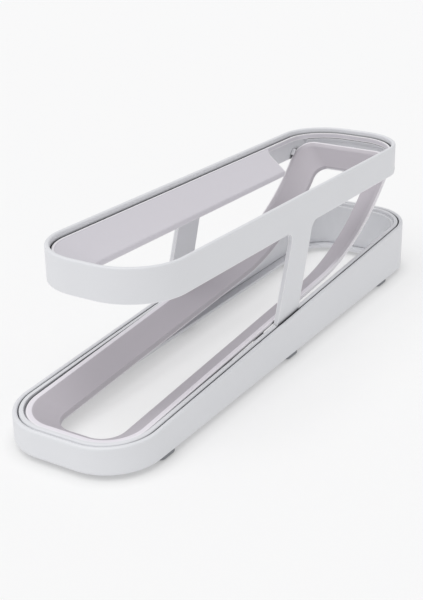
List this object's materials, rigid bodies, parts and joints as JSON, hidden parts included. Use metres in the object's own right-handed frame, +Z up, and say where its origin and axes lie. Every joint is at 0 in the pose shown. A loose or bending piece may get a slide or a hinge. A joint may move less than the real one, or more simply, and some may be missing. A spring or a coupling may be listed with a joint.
{
  "type": "egg holder",
  "caption": "Two-tier rolling egg dispenser: a funnel trough above drops eggs on a curved slide that feeds sloping rails in an oblong base.",
  "frame": {"origin": "floor level under the middle of the base ring", "axes": "+Z up, +Y from the pick-up end to the tall rear end, +X to the right seen from the pick-up end"},
  "size_m": [0.0862, 0.352, 0.1022],
  "materials": {
    "shell": "white injection-moulded plastic, satin",
    "track": "white injection-moulded plastic, satin",
    "foot": "grey moulded rubber, matt"
  },
  "bodies": {
    "root": {"base_ring": "shell", "tray_ring": "shell", "upper_frame": "shell", "slide": "track", "upper_trough": "track", "foot_front_left": "foot", "foot_front_right": "foot", "foot_middle_left": "foot", "foot_middle_right": "foot", "foot_rear_left": "foot", "foot_rear_right": "foot"}
  },
  "joints": []
}
